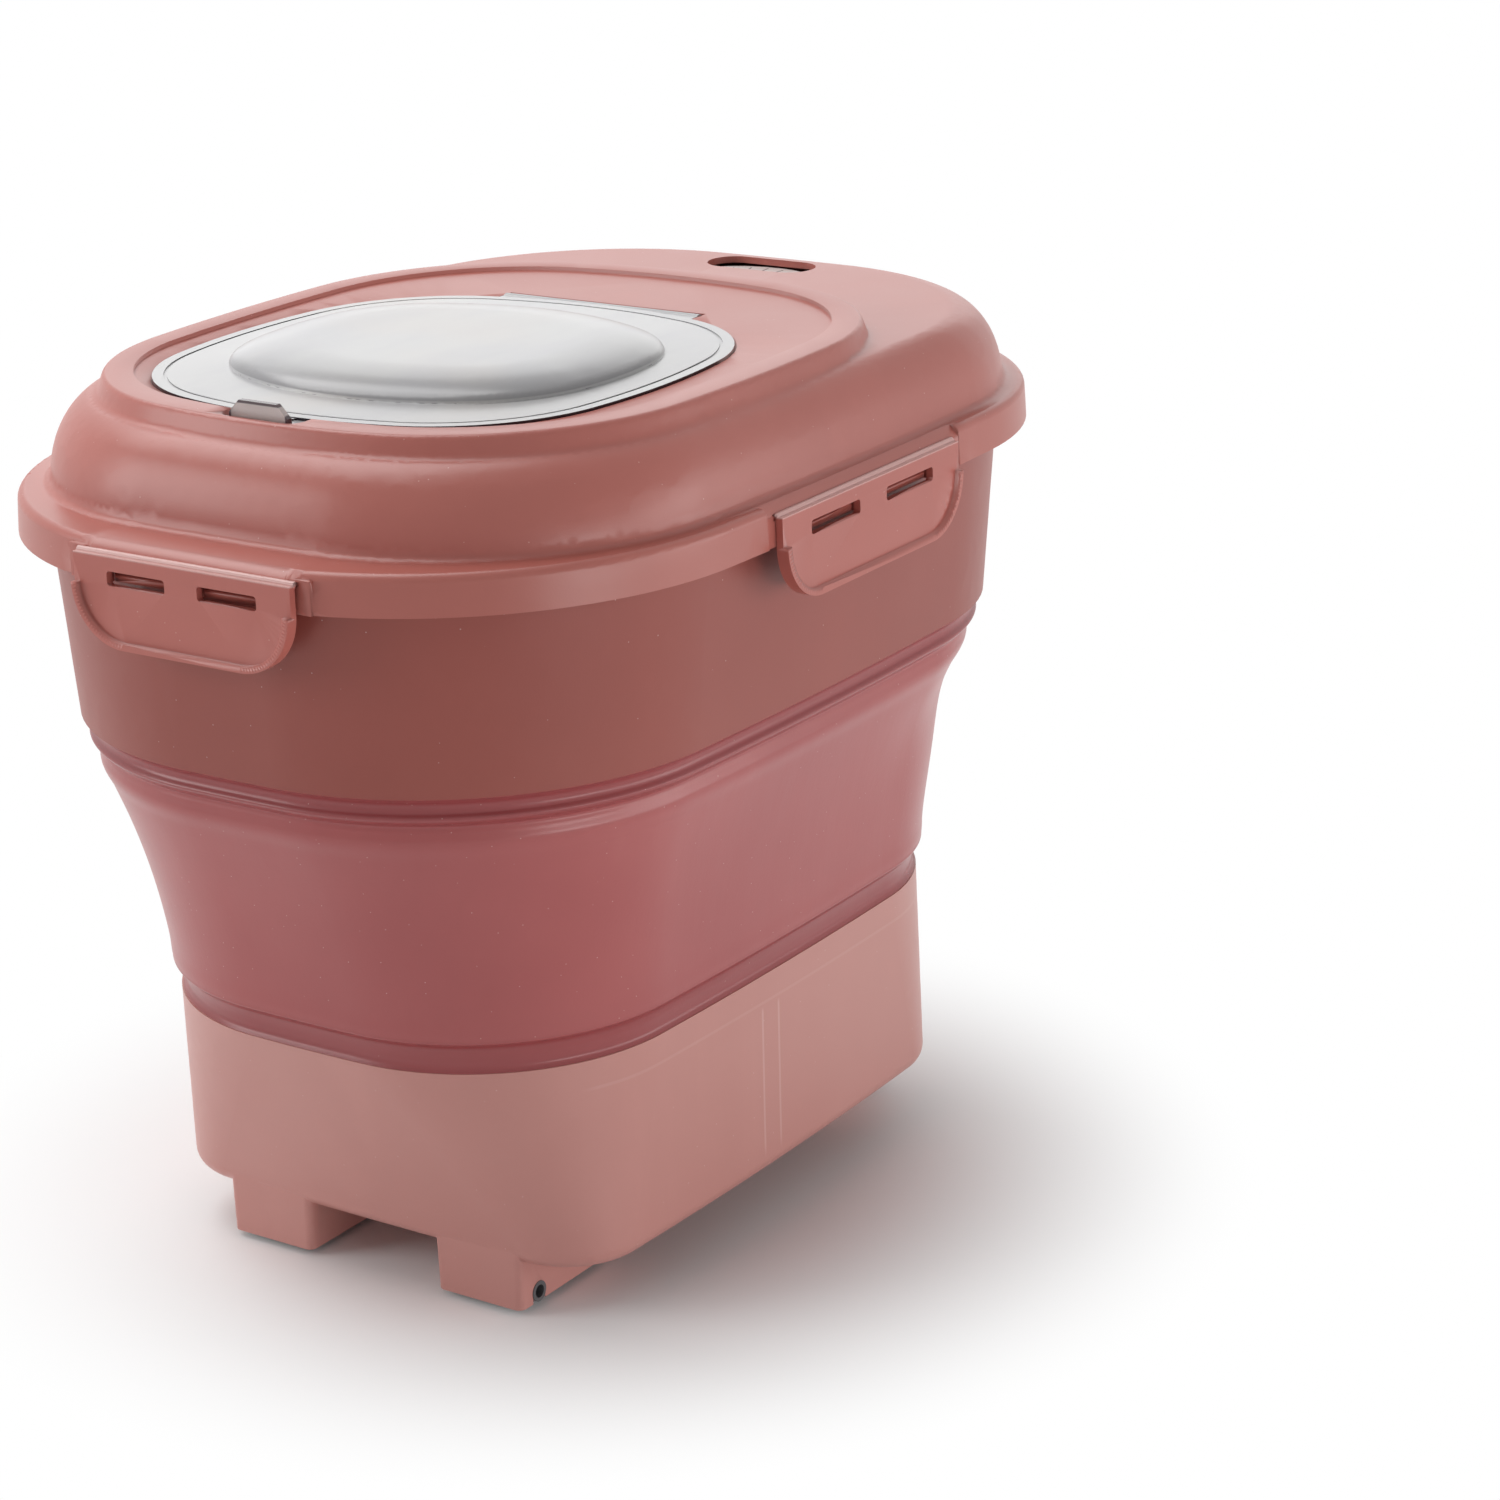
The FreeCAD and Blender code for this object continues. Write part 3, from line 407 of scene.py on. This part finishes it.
FINISHES = {
    "lid": moulded_plastic("lid_pink", colour(180, 104, 94), colour(174, 98, 88), 0.34),
    "ring": moulded_plastic("ring_pink", colour(153, 77, 67), colour(147, 71, 61), 0.4),
    "tub": moulded_plastic("tub_pink", colour(201, 143, 135), colour(195, 136, 128), 0.37,
                           panel_lines),
    "clasp": moulded_plastic("clasp_pink", colour(186, 106, 96), colour(180, 100, 90), 0.3,
                             hinge_line),
    "sleeve": soft_sleeve_rubber(),
    "clear": clear_flap_plastic(),
    "seal": seal_silicone(),
    "steel": plated_steel(),
    "black": scuffed_plastic("roller_black", colour(30, 30, 32), colour(52, 51, 52)),
    "hub": scuffed_plastic("hub_grey", colour(88, 88, 90), colour(104, 103, 104)),
    "dial": dial_white(),
    "ink": dial_ink(),
}


# Pieces

def body_of_node(node):
    return frame["nodes"][node]["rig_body"]


def link(name, data):
    thing = bpy.data.objects.new(name, data)
    bpy.context.scene.collection.objects.link(thing)
    return thing


def coat(thing, finish):
    thing.data.materials.clear()
    thing.data.materials.append(FINISHES[finish])


def smooth(mesh, angle):
    mesh.shade_smooth()
    mesh.set_sharp_from_angle(angle=math.radians(angle))


def made_mesh(carrier, name, centre=(0.0, 0.0, 0.0)):
    """Plain mesh object of what a carrier's modifiers make, moved to a place. The carrier goes."""
    bpy.context.view_layer.update()
    graph = bpy.context.evaluated_depsgraph_get()
    mesh = bpy.data.meshes.new_from_object(carrier.evaluated_get(graph))
    mesh.name = name
    mesh.transform(Matrix.Translation(centre))
    bpy.data.objects.remove(carrier)
    return link(name, mesh)


def weighted(carrier):
    """The carrier with shading set by its large faces, so that flat faces stay flat."""
    modifier = carrier.modifiers.new("shading", "WEIGHTED_NORMAL")
    modifier.mode = "FACE_AREA"
    modifier.keep_sharp = True
    return carrier


def finished_copy(node, name, finish, angle=32.0):
    """Welded, smooth-shaded copy of a frame node that stands for it."""
    mesh = frame["nodes"][node].data.copy()
    mesh.name = name
    work = bmesh.new()
    work.from_mesh(mesh)
    bmesh.ops.remove_doubles(work, verts=work.verts, dist=2e-6)
    work.to_mesh(mesh)
    work.free()
    smooth(mesh, angle)
    thing = made_mesh(weighted(link(name + "_carrier", mesh)), name)
    coat(thing, finish)
    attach(thing, body_of_node(node))
    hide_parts(node)


def dress_frame():
    finished_copy("lower_tub", "tub_shell", "tub")
    finished_copy("upper_ring", "ring_shell", "ring")
    finished_copy("lid", "lid_shell", "lid")
    finished_copy("lid_gasket", "lid_seal", "seal")
    finished_copy("lid_magnet", "lid_magnet_disc", "steel")
    finished_copy("flap", "clear_flap", "clear", 15.0)
    finished_copy("flap_seal", "flap_seal_ring", "seal")
    finished_copy("flap_magnet", "flap_magnet_disc", "steel")
    finished_copy("flap_hinge_pin", "hinge_pin", "steel")
    finished_copy("date_dial", "dial_disc", "dial")
    finished_copy("dial_screw", "dial_screw_head", "steel")
    for side in ("front", "right", "rear", "left"):
        finished_copy("clasp_" + side, side + "_clasp", "clasp")
    for end in ("front", "rear"):
        for side in ("left", "right"):
            corner = end + "_" + side
            finished_copy("wheel_" + corner, corner + "_roller", "black")
            finished_copy("axle_" + corner, corner + "_axle", "hub")


# Folding sleeve

def outline_points(size, count):
    """Evenly spaced points round a bowed outline in millimetres, with the outward direction."""
    half_x, half_y, radius, end_bow, side_bow = size
    end_centre = half_y - end_bow
    side_centre = half_x - side_bow
    end_reach = end_bow - radius
    side_reach = side_bow - radius
    span = math.hypot(side_centre, end_centre)
    along = (end_reach ** 2 - side_reach ** 2 + span ** 2) / (2 * span)
    across = math.sqrt(end_reach ** 2 - along ** 2)
    corner = ((along * side_centre - across * end_centre) / span,
              end_centre - (along * end_centre + across * side_centre) / span)
    end_turn = math.atan2(corner[1] - end_centre, corner[0])
    side_turn = math.atan2(corner[1], corner[0] - side_centre)
    arcs = [((side_centre, 0.0), side_bow, 0.0, side_turn),
            (corner, radius, side_turn, end_turn),
            ((0.0, end_centre), end_bow, end_turn, math.pi / 2)]
    quarter = []
    for (x, y), reach, start, stop in arcs:
        steps = max(2, int(reach * (stop - start) / 0.5))
        for i in range(steps):
            angle = start + (stop - start) * i / steps
            quarter.append((x + reach * math.cos(angle), y + reach * math.sin(angle), angle))
    quarter.append((0.0, half_y, math.pi / 2))
    route = np.array(quarter)
    mirror = route[::-1][1:] * (-1, 1, -1) + (0, 0, math.pi)
    half = np.vstack([route, mirror])
    other = half[1:] * (-1, -1, 1) + (0, 0, math.pi)
    loop = np.vstack([half, other])
    steps = np.hypot(*np.diff(loop[:, :2], axis=0).T)
    lengths = np.concatenate([[0.0], np.cumsum(steps)])
    spots = np.linspace(0.0, lengths[-1], count, endpoint=False)
    return np.column_stack([np.interp(spots, lengths, loop[:, i]) for i in range(3)])


def grow(size, by):
    return tuple(value + by for value in size)


def mix_sizes(first, second, share):
    return tuple(a + (b - a) * share for a, b in zip(first, second))


def tube_of_rows(name, rows):
    """Quad mesh through closed loops of points. The last loop joins the first."""
    count, total = len(rows[0]), len(rows)
    points = np.vstack(rows) * MM
    faces = []
    for r in range(total):
        this, following = r * count, (r + 1) % total * count
        for i in range(count):
            j = (i + 1) % count
            faces.append((this + i, this + j, following + j, following + i))
    mesh = bpy.data.meshes.new(name)
    mesh.from_pydata(points.tolist(), [], faces)
    mesh.update()
    return mesh


def smooth_profile(stations, steps):
    """Smooth curve through pairs of height and value, with some steps between each two."""
    stations = np.array(stations, float)
    spans = zip(stations[:-1, 0], stations[1:, 0])
    heights = np.concatenate([np.linspace(a, b, steps, endpoint=False) for a, b in spans]
                             + [stations[-1:, 0]])
    slopes = np.gradient(stations[:, 1], stations[:, 0])
    values = []
    for height in heights:
        i = min(np.searchsorted(stations[:, 0], height, side="right") - 1, len(stations) - 2)
        (h0, v0), (h1, v1) = stations[i], stations[i + 1]
        run = h1 - h0
        t = (height - h0) / run
        values.append((2 * t ** 3 - 3 * t ** 2 + 1) * v0
                      + (t ** 3 - 2 * t ** 2 + t) * run * slopes[i]
                      + (-2 * t ** 3 + 3 * t ** 2) * v1
                      + (t ** 3 - t ** 2) * run * slopes[i + 1])
    return list(zip(heights, values))


def folding_sleeve():
    """Soft sleeve with a waist below and a ridge above, dented a little behind one corner."""
    profile = smooth_profile(SLEEVE_BANDS, 6)
    rows = []
    for inward, order in ((0.0, profile), (SLEEVE_WALL, profile[::-1])):
        for rise, inset in order:
            size = mix_sizes(TUB_TOP, RING_BOTTOM, rise / SLEEVE_HEIGHT)
            x, y, angle = outline_points(grow(size, -inset - inward), SLEEVE_POINTS).T
            level = math.exp(-((rise - DENT_RISE) / DENT_REACH) ** 2)
            around = np.exp(-((np.arctan2(y, x) - DENT_ANGLE) / DENT_SPREAD) ** 2)
            sag = DENT_DEPTH * level * around
            heights = np.full(SLEEVE_POINTS, SLEEVE_BOTTOM + rise)
            rows.append(np.column_stack([x - sag * np.cos(angle), y - sag * np.sin(angle),
                                         heights]))
    mesh = tube_of_rows("soft_sleeve", rows)
    work = bmesh.new()
    work.from_mesh(mesh)
    bmesh.ops.recalc_face_normals(work, faces=work.faces)
    work.to_mesh(mesh)
    work.free()
    smooth(mesh, 50.0)
    thing = link("soft_sleeve", mesh)
    coat(thing, "sleeve")
    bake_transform(thing)
    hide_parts("folding_sleeve")


# Date dial

def dial_centre():
    """Middle of the dial's upper face."""
    low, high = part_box("date_dial")
    return Vector(((low[0] + high[0]) / 2, (low[1] + high[1]) / 2, high[2]))


def dial_numbers(centre):
    """Printed day and month numbers, upright where they pass below the window."""
    meshes = []
    for last, radius, height in DIAL_CIRCLES:
        for number in range(1, last + 1):
            text = bpy.data.curves.new("number", "FONT")
            text.body = str(number)
            text.size = height * MM
            text.align_x = "CENTER"
            text.align_y = "CENTER"
            text.resolution_u = 3
            carrier = bpy.data.objects.new("number", text)
            mesh = bpy.data.meshes.new_from_object(carrier)
            turn = math.tau * (number - 1) / last
            mesh.transform(Matrix.Translation((0.0, radius * MM, NUMBER_LIFT)))
            mesh.transform(Matrix.Rotation(-turn, 4, "Z"))
            mesh.transform(Matrix.Translation(centre))
            meshes.append(mesh)
            bpy.data.objects.remove(carrier)
    work = bmesh.new()
    for mesh in meshes:
        work.from_mesh(mesh)
        bpy.data.meshes.remove(mesh)
    whole = bpy.data.meshes.new("dial_numbers")
    work.to_mesh(whole)
    work.free()
    thing = link("dial_numbers", whole)
    coat(thing, "ink")
    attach(thing, "dial")


def marks_tree():
    """Geometry nodes for equal bars round a circle: the tree and its inputs' identifiers."""
    tree = bpy.data.node_groups.new("marks_tree", "GeometryNodeTree")
    tree.interface.new_socket("Geometry", in_out="INPUT", socket_type="NodeSocketGeometry")
    ids = {}
    for label, kind in (("Count", "NodeSocketInt"), ("Radius", "NodeSocketFloat"),
                        ("Bar", "NodeSocketVector"), ("Finish", "NodeSocketMaterial")):
        socket = tree.interface.new_socket(label, in_out="INPUT", socket_type=kind)
        ids[label] = socket.identifier
    tree.interface.new_socket("Geometry", in_out="OUTPUT", socket_type="NodeSocketGeometry")
    entry = make_node(tree, "NodeGroupInput")
    circle = make_node(tree, "GeometryNodeMeshCircle", None,
                       {"Vertices": entry.outputs["Count"], "Radius": entry.outputs["Radius"]})
    bar = make_node(tree, "GeometryNodeMeshCube", None, {"Size": entry.outputs["Bar"]})
    spot = make_node(tree, "GeometryNodeInputPosition")
    turn = make_node(tree, "FunctionNodeAlignRotationToVector", {"axis": "X"},
                     {"Vector": spot.outputs[0]})
    many = make_node(tree, "GeometryNodeInstanceOnPoints", None,
                     {"Points": circle.outputs["Mesh"], "Instance": bar.outputs["Mesh"],
                      "Rotation": turn.outputs[0]})
    plain = make_node(tree, "GeometryNodeRealizeInstances", None,
                      {"Geometry": many.outputs["Instances"]})
    painted = make_node(tree, "GeometryNodeSetMaterial", None,
                        {"Geometry": plain.outputs["Geometry"],
                         "Material": entry.outputs["Finish"]})
    make_node(tree, "NodeGroupOutput", None, {"Geometry": painted.outputs["Geometry"]})
    return tree, ids


def dial_ticks(centre):
    """Raised bars round the dial's edge, one for each day, all pointing at its centre."""
    tree, ids = marks_tree()
    carrier = link("dial_ticks_carrier", bpy.data.meshes.new("dial_ticks_carrier"))
    modifier = carrier.modifiers.new("marks", "NODES")
    modifier.node_group = tree
    modifier[ids["Count"]] = DIAL_CIRCLES[0][0]
    modifier[ids["Radius"]] = TICK_RADIUS
    modifier[ids["Bar"]] = TICK_SIZE
    modifier[ids["Finish"]] = FINISHES["ink"]
    ticks = made_mesh(carrier, "dial_ticks", centre + Vector((0, 0, TICK_LIFT)))
    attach(ticks, "dial")


# Camera, floor and light

def photo_camera():
    """Camera of the photograph: its angle, its slight roll and its off-centre frame."""
    azimuth, rise, roll = (math.radians(angle)
                           for angle in (CAMERA_AZIMUTH, CAMERA_RISE, CAMERA_ROLL))
    back = Vector((math.sin(azimuth) * math.cos(rise), -math.cos(azimuth) * math.cos(rise),
                   math.sin(rise)))
    data = bpy.data.cameras.new("photo_camera")
    data.sensor_width = 36.0
    data.lens = CAMERA_LENS
    data.shift_x = (IMAGE_SIZE / 2 - IMAGE_TARGET[0]) / IMAGE_SIZE
    data.shift_y = (IMAGE_TARGET[1] - IMAGE_SIZE / 2) / IMAGE_SIZE
    thing = link("photo_camera", data)
    right = Vector((math.cos(azimuth), math.sin(azimuth), 0.0))
    up = back.cross(right)
    turned_right = math.cos(roll) * right + math.sin(roll) * up
    turned_up = math.cos(roll) * up - math.sin(roll) * right
    turn = Matrix((turned_right, turned_up, back)).transposed().to_4x4()
    place = Vector(CAMERA_TARGET) + CAMERA_DISTANCE * back
    thing.matrix_world = Matrix.Translation(place) @ turn
    bpy.context.scene.camera = thing


def softbox(name, place, target, size, power):
    data = bpy.data.lights.new(name, "AREA")
    data.shape = "RECTANGLE"
    data.size, data.size_y = size
    data.energy = power
    thing = link(name, data)
    thing.location = place
    thing.rotation_mode = "QUATERNION"
    thing.rotation_quaternion = (Vector(target) - Vector(place)).to_track_quat("-Z", "Y")


def white_surround():
    """World that shows white and lights the bin more weakly."""
    world = bpy.data.worlds.new("studio")
    world.use_nodes = True
    bpy.context.scene.world = world
    sky = Shading(world.node_tree, "ShaderNodeOutputWorld")
    lit, shown = (sky.node("ShaderNodeBackground", None, {"Color": WHITE, "Strength": strength})
                  for strength in (WORLD_STRENGTH, 1.0))
    sky.blend_of(sky.background_rays(), lit, shown)


def pale_floor():
    """Matt floor that fades into the white surround."""
    mesh = bpy.data.meshes.new("floor")
    work = bmesh.new()
    bmesh.ops.create_circle(work, cap_ends=True, segments=96, radius=FLOOR_RADIUS)
    work.to_mesh(mesh)
    work.free()
    floor = link("floor", mesh)
    finish = Finish("pale_floor")
    matt = finish.principled(Base_Color=(0.9, 0.9, 0.9, 1.0), Roughness=0.7,
                             Specular_IOR_Level=0.1)
    glow = finish.node("ShaderNodeEmission", None, {"Color": WHITE, "Strength": 1.0})
    far = finish.node("ShaderNodeVectorMath", {"operation": "LENGTH"}, {0: finish.place()}, 1)
    finish.blend_of(far.ramp(*FLOOR_FADE) * finish.background_rays(), matt, glow)
    mesh.materials.append(finish.material)


dress_frame()
folding_sleeve()
dial_numbers(dial_centre())
dial_ticks(dial_centre())
photo_camera()
white_surround()
pale_floor()
for lamp in LAMPS:
    softbox(*lamp)
bpy.context.scene.view_settings.view_transform = "Standard"
